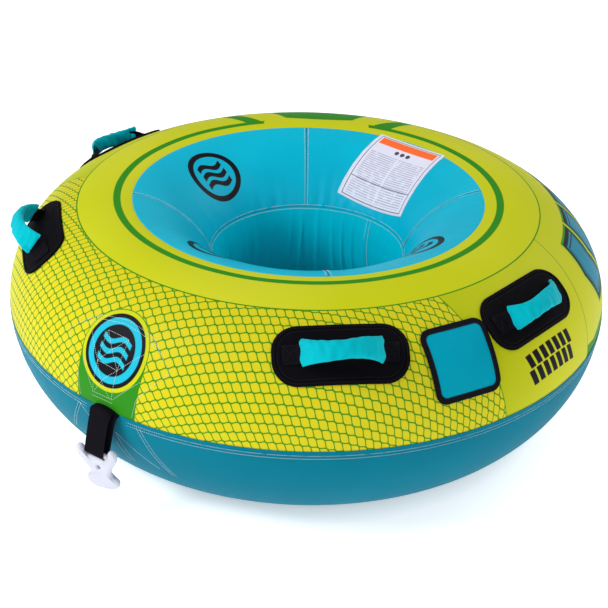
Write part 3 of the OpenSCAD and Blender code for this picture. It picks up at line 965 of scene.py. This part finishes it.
def tow_stitching():
    sewing = Threads(pitch=4.2 * MM)
    for corners in DECK_LINES:
        steps = np.linspace(0, 1, 14)[:, None]
        ends = np.array(corners, float)
        dense = np.concatenate([a + (b - a) * steps for a, b in zip(ends, ends[1:])])
        path = from_print(dense[:, 0], dense[:, 1], 0.1 * MM)
        reach = np.hypot(dense[:, 0], dense[:, 1])
        t = np.interp((reach - PRINT_IN) / (PRINT_OUT - PRINT_IN) * _arc[-1], _arc, _angles)
        tau = np.degrees(np.arctan2(dense[:, 0], -dense[:, 1]))
        sewing.row(path, np.stack([axes_at(p, q)[2] for p, q in zip(tau, t)]))
    for corners in LOW_LINES:
        for (tau0, t0), (tau1, t1) in zip(corners, corners[1:]):
            f = np.linspace(0, 1, 24)
            tau = tau0 + (tau1 - tau0) * f
            t = t0 + (t1 - t0) * f
            sewing.row(on_face(tau, t, 0.5 * MM), np.stack([axes_at(p, q)[2] for p, q in zip(tau, t)]))
    sewing.made("tow_stitching", THREAD)


tow_stitching()

# ---- Handles -----------------------------------------------------------------------------------

# Length, width and corner radius of the knuckle pads, and half the span of a loop's arch
PAD = (0.258, 0.117, 0.050)
LOOP_HALF = 0.076
# Height over the tube of the arch's feet, and how far its webbing sinks there
FOOT_LEVEL = 8.2 * MM
FOOT_SINK = 3 * MM
PAD_PROFILE = [
    (20, 0.3), (3, 0.3), (0.4, 0.7), (0.0, 1.6), (0.1, 3.0), (1.0, 4.3), (2.8, 4.9), (5.5, 4.9), (7.4, 4.2),
    (8.2, 3.3), (9.2, 3.5), (10.6, 3.9), (11.6, 3.6), (12.8, 4.0), (16, 4.25), (22, 4.3), (30, 4.3),
    (40, 4.3), (50, 4.3), (57, 4.3),
]


def box_cross(threads, spot, middle, wide, tall, level):
    """The sewn box with a cross in it that holds a webbing's end."""
    x0 = middle - wide / 2
    x1 = middle + wide / 2
    y = tall / 2
    for a, b in (
        ((x0, -y), (x1, -y)), ((x1, -y), (x1, y)), ((x1, y), (x0, y)), ((x0, y), (x0, -y)),
        ((x0, -y), (x1, y)), ((x0, y), (x1, -y)),
    ):
        line_row(threads, spot, a, b, level)


class Arch:
    """The leaning arch of one handle's loop, over its pad."""

    def __init__(self, spot, lean, height, sag):
        self.spot = spot
        self.tilt = math.radians(lean)
        self.height = height
        self.sag = sag
        self.middle = spot.origin + FOOT_LEVEL * spot.z
        self.up = -math.sin(self.tilt) * spot.y + math.cos(self.tilt) * spot.z

    def rise(self, a):
        return self.height * math.sin(a) - FOOT_SINK

    def at(self, a):
        along = LOOP_HALF * math.cos(a) + self.sag * math.sin(a)
        return self.middle + self.spot.x * along + self.up * self.rise(a)

    def forward(self, a):
        along = self.sag * math.cos(a) - LOOP_HALF * math.sin(a)
        tangent = self.spot.x * along + self.up * self.height * math.cos(a)
        return tangent / np.linalg.norm(tangent)

    def across(self, tilt):
        return math.cos(tilt) * self.spot.y + math.sin(tilt) * self.spot.z

    def bend(self, made, number):
        """Bakes a piece's placement into its mesh."""
        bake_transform(made)


def knuckle_pad(number, spot):
    """Neoprene pad with a raised border, two rows of stitches and the sewn boxes of the webbing's ends."""
    k = number - 1

    def uneven(x, y, inset):
        return 0.25 * MM * np.sin(x * 90 + k) * np.cos(y * 120 + 2 * k) * (inset > 0.013)

    pad = layered(
        spot, *PAD, in_metres(PAD_PROFILE), f"pad_{number}", NEOPRENE, wobble=uneven, slot="neoprene",
    )
    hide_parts(f"handle_pad_{number}")
    sewing = Threads(pitch=4.0 * MM)
    outline_row(sewing, spot, *PAD, 11.6 * MM, 3.75 * MM)
    outline_row(sewing, spot, *PAD, 5.0 * MM, 4.9 * MM)
    for side in (-1, 1):
        box_cross(sewing, spot, side * 0.094, 0.027, 0.036, 6.9 * MM)
    sewing.made(f"pad_stitching_{number}", DARK_THREAD)


def loop_webbing(number, arch):
    """Webbing that is flat on the pad at both ends and narrower where the sleeve covers it."""
    spot = arch.spot
    flat_x = np.linspace(0.111, 0.082, 9)
    angles = np.radians(np.linspace(4, 176, 61))
    path = [spot.dropped(x, 0.0, 5.6 * MM) for x in flat_x]
    across = [spot.y] * len(flat_x)
    for a in angles:
        path.append(arch.at(a))
        lifted = min(1.0, max(0.0, arch.rise(a) / 0.03))
        across.append(arch.across(arch.tilt * lifted * lifted * (3 - 2 * lifted)))
    path += [spot.dropped(-x, 0.0, 5.6 * MM) for x in flat_x[::-1]]
    across += [spot.y] * len(flat_x)
    path = np.array(path)
    for _ in range(3):
        path[1:-1] = (path[:-2] + 2 * path[1:-1] + path[2:]) / 4
    rises = np.concatenate([flat_x * 0, np.sin(angles), flat_x * 0])
    narrow = 1 - 0.3 * np.clip((rises - 0.3) / 0.3, 0, 1)
    made = strap(f"webbing_{number}", path, np.array(across), 19.5 * MM, narrow)
    arch.bend(made, number)
    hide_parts(f"handle_loop_{number}", f"handle_anchor_{number}")


# Each end of a sleeve: place along it, and its size there or 0 inside the mouth
SLEEVE_END = [(0.085, 0.0), (0.05, 0.0), (0.012, 0.0), (0.0, 0.35), (0.0, 0.75), (0.0, 1.0)]
SLEEVE_START = 13.0


def sleeve(number, arch):
    """A flat padded tube round the arch, wide at its ends and pinched and creased between them."""
    pick = random.Random(99 + number)
    around = 72
    phase = [pick.uniform(0, TAU) for _ in range(9)]
    pinch_at = pick.uniform(0.42, 0.62)
    order = [(v, size if size else 0.55) for v, size in SLEEVE_END]
    order += [(v, 1.0) for v in np.linspace(0.012, 0.988, 84)]
    order += [(1 - v, size if size else 0.55) for v, size in reversed(SLEEVE_END)]
    theta = np.arange(around) / around * TAU
    c = np.cos(theta)
    s = np.sin(theta)
    wide_dir = arch.across(arch.tilt)
    points = []
    flat = []
    for v, size in order:
        a = math.radians(SLEEVE_START + (180 - 2 * SLEEVE_START) * v)
        middle = arch.at(a)
        outward = np.cross(wide_dir, arch.forward(a))
        if outward @ (middle - arch.middle) < 0:
            outward = -outward
        ends = math.exp(-((v / 0.16) ** 2)) + math.exp(-(((1 - v) / 0.16) ** 2))
        pinch = math.exp(-(((v - pinch_at) / 0.2) ** 2))
        half = (21.0 + 4.5 * ends - 3.2 * pinch) * MM
        thick = (6.2 - 2.2 * ends + 2.4 * pinch) * MM
        sway = (1.6 * math.sin(v * 5 + phase[0]) + 0.9 * math.sin(v * 11 + phase[1])) * MM
        flare = 1.4 * ends * np.sin(6 * c + phase[6])
        if size < 0.6:
            x = np.sign(c) * np.abs(c) ** 0.5 * (half - 2.6 * MM)
            y = np.sign(s) * np.abs(s) ** 0.6 * 1.75 * MM + flare * MM * 0.3
        else:
            fold = 0.9 * np.sin(2 * theta + 9 * v + phase[2]) * pinch
            fold += 0.75 * np.sin(v * 46 + 2.0 * c + phase[3]) * (0.4 + pinch)
            fold += 0.5 * np.sin(v * 71 + 3.5 * s - 2 * c + phase[4])
            fold += 0.6 * np.sin(3 * theta + v * 17 + phase[5])
            x = np.sign(c) * np.abs(c) ** 0.8 * (half + fold * 0.35 * MM) * size
            y = (np.sign(s) * np.abs(s) ** 0.75 * thick + (fold + flare) * MM * 0.9) * size
        points.append(middle + (x + sway)[:, None] * wide_dir + y[:, None] * outward)
        flat.append(flat_at(v * 150, theta / TAU * 110))
    faces = grid(len(order), around, wrap=True)
    made = mesh(f"grip_{number}", np.concatenate(points), faces, GRIP, body=None, cloth=np.concatenate(flat))
    arch.bend(made, number)
    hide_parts(f"handle_grip_{number}")


for number, (tau, lean, height, sag) in enumerate(HANDLES, 1):
    pad_spot = Spot(tau, HANDLE_T)
    arch = Arch(pad_spot, lean, height, sag)
    knuckle_pad(number, pad_spot)
    loop_webbing(number, arch)
    sleeve(number, arch)

# ---- Valve flap --------------------------------------------------------------------------------

# Length, width and corner radius of the flap, then its border's and its cloth's (inset, level) in millimetres
FLAP = (0.146, 0.146, 0.024)
EDGING_PROFILE = [
    (1.6, 2.5), (0.4, 2.9), (0.0, 3.8), (0.5, 4.8), (2.0, 5.3), (4.0, 5.1), (5.6, 4.9), (7.2, 5.1),
    (9.6, 5.3), (11.0, 5.0), (11.5, 4.5), (11.4, 3.4), (10.4, 2.6), (6.0, 2.5),
]
FLAP_PROFILE = [
    (10.6, 3.5), (12.0, 3.9), (14, 4.05), (18, 4.15), (26, 4.2), (38, 4.3), (52, 4.4), (66, 4.4), (72.5, 4.4),
]
# Section of the tape's fold, as place up the flap and level, in millimetres
FOLD_PROFILE = [
    (67.0, 1.2), (69.5, 1.7), (71.0, 2.5), (71.9, 3.2), (72.3, 3.9),
    (72.9, 3.8), (72.8, 3.0), (71.9, 1.9), (70.3, 0.9), (67.0, 0.6), (67.0, 1.2),
]
OPENING_PROFILE = [(0.0, 0.05), (0.1, 0.7), (1.0, 1.1), (2.6, 1.1), (3.7, 0.7), (4.0, -0.2), (3.9, -0.9)]


def flap(spot):
    """Bound square of cloth over the valve, with the tape and the fold that it turns on."""
    binding = layered(
        spot, *FLAP, in_metres(EDGING_PROFILE), "flap_edging", BINDING, count=280, closed=True,
        body="flap", slot="binding_tape",
    )
    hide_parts("flap_binding")
    cloth = layered(
        spot, *FLAP, in_metres(FLAP_PROFILE), "flap_cloth", FLAP_CLOTH, count=280,
        wobble=lambda x, y, inset: 0.32 * MM * np.sin(x * 55 + y * 20) * np.cos(y * 48 - x * 12),
        body="flap", slot="teal_nylon",
    )
    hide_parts("flap_panel")
    x, y = np.meshgrid(np.linspace(-0.059, 0.059, 40), np.linspace(0.056, 0.0715, 8))
    at_edge = (np.abs(x) > 0.0585) | (np.abs(y - 0.06375) > 0.0075)
    level = np.where(at_edge, 0.3, 1.25) * MM
    tape = mesh(
        "flap_hinge", spot.dropped(x, y, level), grid(8, 40), BINDING,
        cloth=flat_at(x / MM, y / MM), slot="binding_tape",
    )
    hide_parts("flap_hinge_tape")
    line = np.array(in_metres(FOLD_PROFILE))
    x, y = np.meshgrid(np.linspace(-0.048, 0.048, 40), line[:, 0])
    fold = mesh(
        "flap_fold", spot.dropped(x, y, line[:, 1][:, None]), grid(len(line), 40), BINDING,
        body=None, cloth=flat_at(x / MM, y / MM),
    )
    spot.at(0, 0.0695, 0)
    spot.at(0, 0.0723, 0)
    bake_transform(fold)
    sewing = Threads(pitch=4.0 * MM)
    outline_row(sewing, spot, *FLAP, 9.8 * MM, 5.35 * MM)
    threads = sewing.made("flap_stitching", DARK_THREAD, body="flap")
    edging = layered(
        spot, 0.075, 0.075, 0.0375, in_metres(OPENING_PROFILE), "opening_edging", BINDING,
        count=120, closed=True, slot="binding_tape",
    )
    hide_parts("valve_opening_binding")


flap(Spot(*VALVE))

# ---- Label -------------------------------------------------------------------------------------

LABEL_HALF = 0.1


def label(spot):
    """Square of label cloth sewn to the funnel, slightly lifted between its stitches."""
    steps = 60
    side = np.linspace(-LABEL_HALF, LABEL_HALF, steps)
    x, y = np.meshgrid(side, side)
    from_edge = np.minimum(LABEL_HALF - np.abs(x), LABEL_HALF - np.abs(y))
    lift = 0.85 - 0.5 * np.exp(-from_edge / (1.2 * MM))
    lift += 0.55 * np.exp(-from_edge / (14 * MM)) * np.sin(x * 160 + 1) * np.sin(y * 140 + 2)
    made = mesh(
        "label", spot.dropped(x, y, np.clip(lift, 0.3, 1.6) * MM), grid(steps, steps), LABEL_CLOTH,
        slot="label_cloth", cloth=flat_at(x / MM, y / MM, from_edge / MM),
    )
    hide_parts("label_patch")
    sewing = Threads(pitch=4.0 * MM)
    outline_row(sewing, spot, 0.2, 0.2, 0.001, 2.6 * MM, 1.15 * MM, count=240)
    threads = sewing.made("label_stitching", THREAD)


label(Spot(*LABEL))

# ---- Tow strap and hook ------------------------------------------------------------------------

# The strap's turning line and the hook's bar, as distance out and height
AXIS = np.array([0.696, 0.259])
BAR = np.array([0.719, 0.171])
BAR_R = 5.5 * MM
HOOK_LEAN = math.radians(10)
HOOK_TWIST = math.radians(12)


def arc(middle, radius, first, last, count):
    """Points of an arc between two angles in degrees."""
    a = np.radians(np.linspace(first, last, count))
    return middle + radius * np.stack([np.cos(a), np.sin(a)], -1)


def strap_path():
    """Distance out and height of the webbing: out of the slit, round the bar, and back in."""
    lean = BAR - AXIS
    lean = lean / np.linalg.norm(lean)
    side = np.array([-lean[1], lean[0]])
    reach = BAR_R + 1.6 * MM
    over = arc(AXIS - 0.5 * MM, 4.2 * MM, 100, 14, 9)
    f = np.linspace(0.08, 1, 14)[:, None]
    down = over[-1] + (BAR + side * reach - over[-1]) * f + side * np.sin(math.pi * f) * MM
    facing = math.degrees(math.atan2(side[1], side[0]))
    below = arc(BAR, reach, facing - 15, facing - 165, 13)
    back = BAR - side * reach
    up = back + (np.array([0.6925, 0.2575]) - back) * np.linspace(0.04, 1, 14)[:, None]
    path = np.concatenate([
        [(0.668, 0.2605), (0.677, 0.2610), (0.685, 0.2617)], over, down, below, up,
        [(0.688, 0.2588), (0.680, 0.2580), (0.668, 0.2570)],
    ])
    for _ in range(2):
        path[1:-1] = (path[:-2] + 2 * path[1:-1] + path[2:]) / 4
    return path


def tow_strap():
    """The strap; its inner leg hangs a little to one side, and the slit bows it where it comes out."""
    line = strap_path()
    leg = np.linspace(0, 1, len(line))
    aside = 9 * MM * np.clip((leg - 0.62) / 0.3, 0, 1)
    path = np.stack([aside, -line[:, 0], line[:, 1]], -1)
    across = np.tile(np.array([1.0, 0.0, 0.0]), (len(line), 1))
    top = np.clip((line[:, 1] - 0.232) / 0.028, 0, 1) ** 1.5
    made = strap("tow_webbing", path, across, 25 * MM, 1.0 + 0.10 * top, ribs=8, bow=6 * MM * top)
    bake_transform(made)
    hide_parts("tow_strap")


tow_strap()


def smooth_outline(corners):
    """Outline of a polygon with its corners cut three times."""
    points = np.asarray(corners, float)
    for _ in range(3):
        ahead = np.roll(points, -1, 0)
        points = np.stack([points * 0.75 + ahead * 0.25, points * 0.25 + ahead * 0.75], 1).reshape(-1, 2)
    return points


def resampled(points, count):
    """Even points round a closed outline, starting on its right at height -38."""
    start = int(np.argmin(np.abs(points[:, 1] + 38) + np.where(points[:, 0] < 0, 1e3, 0)))
    points = np.roll(points, -start, 0)
    points = np.concatenate([points, points[:1]])
    length = np.concatenate([[0], np.cumsum(np.linalg.norm(np.diff(points, axis=0), axis=1))])
    at = np.linspace(0, length[-1], count, endpoint=False)
    return np.stack([np.interp(at, length, points[:, c]) for c in range(2)], -1)


# Right half of the hook's outline in millimetres, from its foot up, about the middle of its bar
HOOK_HALF = [
    (0, -100.5), (13, -100), (24, -97), (32, -91), (37, -83), (37, -74), (32, -68), (27, -67),
    (23.5, -63), (22, -56), (24, -47), (30, -36), (38, -23), (45, -9), (46.5, 4), (41, 12),
    (32, 13), (27, 6), (26.6, -6), (25, -10.4), (18, -11.2), (9, -11.2), (0, -11.2),
]
EYE = np.array([0, -38])
# Inset and level of the rings round the hook's rounded edge, and growth and level of those at its eye
HOOK_EDGE = [(0.0, 0.0), (0.4, 2.6), (1.4, 4.8), (3.0, 6.3), (4.8, 7.0)]
EYE_EDGE = [(1.8, 6.7), (0.8, 5.8), (0.1, 3.6)]


def hook():
    """Plastic hook: two lobes that hold the bar, a body with an eye, a neck and a broad foot."""
    count = 240
    outer = resampled(smooth_outline(HOOK_HALF + [(-x, y) for x, y in HOOK_HALF[-2:0:-1]]), count)
    angle = np.arange(count) / count * TAU
    eye = EYE + np.stack([4.3 * np.cos(angle), 5.6 * np.sin(angle)], -1)
    forward = np.roll(outer, -1, 0) - np.roll(outer, 1, 0)
    inward = np.stack([-forward[:, 1], forward[:, 0]], -1)
    inward = inward / np.linalg.norm(inward, axis=1)[:, None]
    front = [(outer + inward * inset, level) for inset, level in HOOK_EDGE]
    inner = front[-1][0]
    for f in (0.3, 0.6, 0.85):
        front.append((inner * (1 - f) + eye * f, 7.0 + 0.4 * math.sin(math.pi * f)))
    away = (eye - EYE) / np.linalg.norm(eye - EYE, axis=1)[:, None]
    front += [(eye + away * grow, level) for grow, level in EYE_EDGE]
    front.append((eye, 0.0))
    rings = front + [(ring, -level) for ring, level in reversed(front[1:-1])]
    place = np.array([0, -BAR[0], BAR[1]])
    lean = Matrix.Rotation(HOOK_LEAN, 3, "X")
    turn = np.array(lean @ Matrix.Rotation(HOOK_TWIST, 3, "Z"))
    points = [np.stack([ring[:, 0], np.full(count, level), ring[:, 1]], -1) * MM for ring, level in rings]
    points = np.concatenate(points) @ turn.T + place
    faces = grid(len(rings), count, wrap=True, loop=True)
    made = mesh("hook", points, faces, PLASTIC, body="tow_hook", slot="hook_plastic")
    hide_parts("tow_hook")
    # The bar between the lobes: place along it and radius
    bar = [(-30, 0.3), (-29, 4.2), (-27, 5.4), (27, 5.4), (29, 4.2), (30, 0.3)]
    around = np.arange(32) / 32 * TAU
    rings = [flat_at(x, size * np.cos(around), size * np.sin(around)) for x, size in bar]
    points = np.concatenate(rings) * MM @ np.array(lean).T + place
    mesh("hook_bar", points, grid(len(bar), 32, wrap=True), PLASTIC, body="tow_hook")


hook()

# ---- Zip ---------------------------------------------------------------------------------------

ZIP_ENDS = (128, 232)


def zip_tape(name, low, high):
    """One of the zip's tapes, between two distances up the section in millimetres."""
    tau = np.linspace(*ZIP_ENDS, 500)
    across = np.array([low, low, low + (high - low) * 0.2, low + (high - low) * 0.8, high, high])
    level = np.array([0.1, 0.7, 0.85, 0.8, 0.65, 0.1])
    tt, aa = np.meshgrid(ZIP_T + across / ZIP_DEGREE, tau, indexing="ij")
    points = on_face(aa, tt, level[:, None] * MM)
    cloth = flat_at(aa * 10.6, tt * ZIP_DEGREE)
    tape = mesh(f"zip_tape_{name}_cloth", points, grid(6, 500), BINDING, cloth=cloth, slot="binding_tape")
    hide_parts(f"zip_tape_{name}")


def zip_chain():
    """Stitching along both tapes, and the teeth between them."""
    sewing = Threads(pitch=3.6 * MM)
    for offset in (-10.5, 10.5):
        ring_row(sewing, ZIP_T + offset / ZIP_DEGREE, 0.85 * MM, 128.3, 231.7)
    sewing.made("zip_stitching", DARK_THREAD)
    coil = Threads(pitch=1, width=1.2 * MM, high=0.8 * MM)
    for k, tau in enumerate(np.linspace(129, 231, 900)):
        shift = 0.2 if k % 2 else -0.2
        t = ZIP_T + np.array([-1.9 + shift, 1.9 + shift]) / ZIP_DEGREE
        coil.row(on_face([tau, tau], t, 1.7 * MM), np.stack([axes_at(tau, ZIP_T)[2]] * 2))
    teeth = coil.made("zip_teeth", COIL)
    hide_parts("zip_chain")


zip_tape("upper", 0.4, 13.0)
zip_tape("lower", -13.0, -0.4)
zip_chain()

# ---- Studio ------------------------------------------------------------------------------------

scene = bpy.context.scene
scene.view_settings.view_transform = "Standard"
scene.view_settings.look = "None"

world = bpy.data.worlds.new("studio")
scene.world = world
world.use_nodes = True
world.node_tree.nodes["Background"].inputs["Color"].default_value = (1, 1, 1, 1)
world.node_tree.nodes["Background"].inputs["Strength"].default_value = 0.46

floor_paint = Paint("floor", (0.93, 0.93, 0.93, 1), roughness=0.9, specular=0.1)
floor_paint.shader.inputs["Emission Color"].default_value = (1, 1, 1, 1)
# The floor's glow stops under the tube, so the well stays dark
floor_x, floor_y, _ = floor_paint.attribute("cloth")
glow = ((floor_x * floor_x + floor_y * floor_y).root() - 430.0) / 170.0
floor_paint.put(floor_paint.shader.inputs["Emission Strength"], glow.clamped() * 0.58)
FAR = 60
floor_at = np.array([(-FAR, -FAR, -0.0004), (FAR, -FAR, -0.0004), (FAR, FAR, -0.0004), (-FAR, FAR, -0.0004)])
floor = mesh("floor", floor_at, [(0, 1, 2, 3)], floor_paint.done(), body=None, cloth=floor_at * 1000)


def lamp(name, place, target, size, power):
    data = bpy.data.lights.new(name, "AREA")
    data.shape = "DISK"
    data.size = size
    data.energy = power
    made = bpy.data.objects.new(name, data)
    scene.collection.objects.link(made)
    made.location = place
    made.rotation_euler = (Vector(target) - Vector(place)).to_track_quat("-Z", "Y").to_euler()


MIDDLE = (0.0, 0.0, 0.25)
lamp("key", (-1.7, -2.7, 2.7), MIDDLE, 1.7, 104)
lamp("fill", (3.2, -1.8, 1.9), MIDDLE, 2.0, 22)
lamp("back", (1.4, 2.6, 2.2), MIDDLE, 1.8, 34)


def swung(a, b, angle):
    """Two directions turned in their own plane, the first towards the second."""
    c = math.cos(angle)
    s = math.sin(angle)
    return c * a + s * b, c * b - s * a


def camera():
    """Above and to the right of the tow point, 2.6 m from the rim's centre."""
    aim = Vector((0, 0, 0.4662))
    rise = math.radians(24.607)
    bearing = math.radians(34)
    back = Vector((math.sin(bearing) * math.cos(rise), -math.cos(bearing) * math.cos(rise), math.sin(rise)))
    forward = -back
    right = Vector((math.cos(bearing), math.sin(bearing), 0))
    up = right.cross(forward)
    # Small turns that put the tube where it is in the frame
    forward, right = swung(forward, right, -0.0017359)
    forward, up = swung(forward, up, -0.100077)
    right, up = swung(right, up, 0.0253116)
    data = bpy.data.cameras.new("camera")
    data.lens = 66.31
    data.sensor_width = 36
    made = bpy.data.objects.new("camera", data)
    scene.collection.objects.link(made)
    place = aim + back * 2.5654
    turned = Matrix((right, up, -forward)).transposed().to_4x4()
    made.matrix_world = Matrix.Translation(place) @ turned
    scene.camera = made


camera()

bpy.context.view_layer.update()
